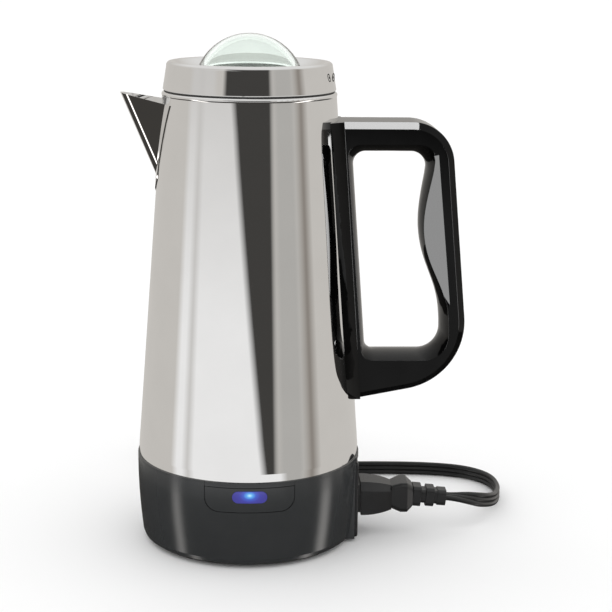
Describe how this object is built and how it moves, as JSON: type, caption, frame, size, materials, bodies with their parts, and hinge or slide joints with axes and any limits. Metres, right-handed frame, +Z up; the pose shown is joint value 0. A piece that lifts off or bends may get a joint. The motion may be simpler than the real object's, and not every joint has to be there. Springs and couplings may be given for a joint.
{
  "type": "coffee percolator",
  "caption": "Tall tapered steel electric coffee percolator with a beak spout, looped side handle, glass lid knob, black heater base and detachable power cord.",
  "frame": {"origin": "on the pot's vertical axis, at the surface that its feet stand on", "axes": "+Z up, +X towards the handle and the mains inlet, -X towards the spout, -Y towards the light on the base"},
  "size_m": [0.2395, 0.2736, 0.2983],
  "materials": {
    "polished_steel": "mirror-polished stainless sheet",
    "plain_steel": "satin stainless sheet and tube",
    "zinc_fasteners": "zinc-plated screws and nuts",
    "heater_sheath": "heat-tinted heater sheath",
    "handle_black": "high-gloss black phenolic",
    "base_black": "satin black moulded plastic",
    "plate_black": "textured black moulded plastic",
    "foot_rubber": "soft black rubber",
    "seal_silicone": "dark silicone",
    "knob_seal": "translucent silicone",
    "retainer_plastic": "pale heat-proof plastic",
    "clear_glass": "clear glass with a slight green tint",
    "blue_lens": "translucent royal blue",
    "led_epoxy": "clear epoxy",
    "board_green": "circuit board",
    "brass_contacts": "bare brass",
    "terminal_steel": "plated",
    "thermostat_body": "phenolic",
    "heater_ceramic": "white ceramic",
    "wire_insulation": "glass-braid insulation",
    "cord_pvc": "satin black flexible PVC"
  },
  "bodies": {
    "pot": {"vessel_shell": "polished_steel", "vessel_floor": "plain_steel", "spout": "polished_steel", "handle": "handle_black", "handle_hook": "plain_steel", "handle_bracket": "plain_steel", "handle_screw": "zinc_fasteners", "base_housing": "base_black", "indicator_panel": "base_black", "light_lens": "blue_lens", "led": "led_epoxy", "led_board": "board_green", "base_seal": "seal_silicone", "bottom_plate": "plate_black", "rubber_feet": "foot_rubber", "base_screws": "zinc_fasteners", "floor_studs": "plain_steel", "stud_nuts": "zinc_fasteners", "inlet_socket": "plate_black", "inlet_pins": "brass_contacts", "inlet_plate": "plate_black", "heating_element": "heater_sheath", "element_terminals": "terminal_steel", "thermostat": "thermostat_body", "keep_warm_heater": "heater_ceramic", "thermal_fuse": "heater_ceramic", "wiring": "wire_insulation"},
    "lid_ring": {"lid_seal": "seal_silicone"},
    "lid": {"lid_shell": "polished_steel", "lid_skirt": "plain_steel", "knob_seal": "knob_seal", "knob_retainer": "retainer_plastic"},
    "knob": {"glass_knob": "clear_glass"},
    "pump": {"pump_tube": "plain_steel", "pump_foot": "plain_steel", "basket_stop": "plain_steel"},
    "valve": {"pump_valve": "plain_steel"},
    "basket": {"basket": "plain_steel"},
    "spreader": {"spreader": "plain_steel"},
    "cordset": {"connector": "cord_pvc", "strain_relief": "cord_pvc", "cord": "cord_pvc", "plug": "cord_pvc", "plug_pins": "brass_contacts"}
  },
  "joints": [
    {"name": "lid_lift", "type": "slide", "parent": "pot", "child": "lid_ring", "axis": [0, 0, 1], "range_m": [0, 0.4]},
    {"name": "lid_twist", "type": "hinge", "parent": "lid_ring", "child": "lid", "pos_m": [0, 0, 0.266], "axis": [0, 0, 1], "range_deg": [0, 20]},
    {"name": "knob_twist", "type": "hinge", "parent": "lid", "child": "knob", "pos_m": [0, 0, 0.275], "axis": [0, 0, 1], "range_deg": [0, 60]},
    {"name": "pump_lift", "type": "slide", "parent": "pot", "child": "pump", "axis": [0, 0, 1], "range_m": [0, 0.24]},
    {"name": "valve_lift", "type": "slide", "parent": "pump", "child": "valve", "axis": [0, 0, 1], "range_m": [0, 0.0016]},
    {"name": "basket_lift", "type": "slide", "parent": "pump", "child": "basket", "axis": [0, 0, 1], "range_m": [0, 0.096]},
    {"name": "spreader_lift", "type": "slide", "parent": "basket", "child": "spreader", "axis": [0, 0, 1], "range_m": [0, 0.032]},
    {"name": "connector_pull", "type": "slide", "parent": "pot", "child": "cordset", "axis": [1, 0, 0], "range_m": [0, 0.025]}
  ],
  "couplings": [
    {"joint": "pump_lift", "follows": "lid_lift", "ratio": 0.6},
    {"joint": "basket_lift", "follows": "lid_lift", "ratio": 0.24},
    {"joint": "spreader_lift", "follows": "lid_lift", "ratio": 0.08}
  ]
}
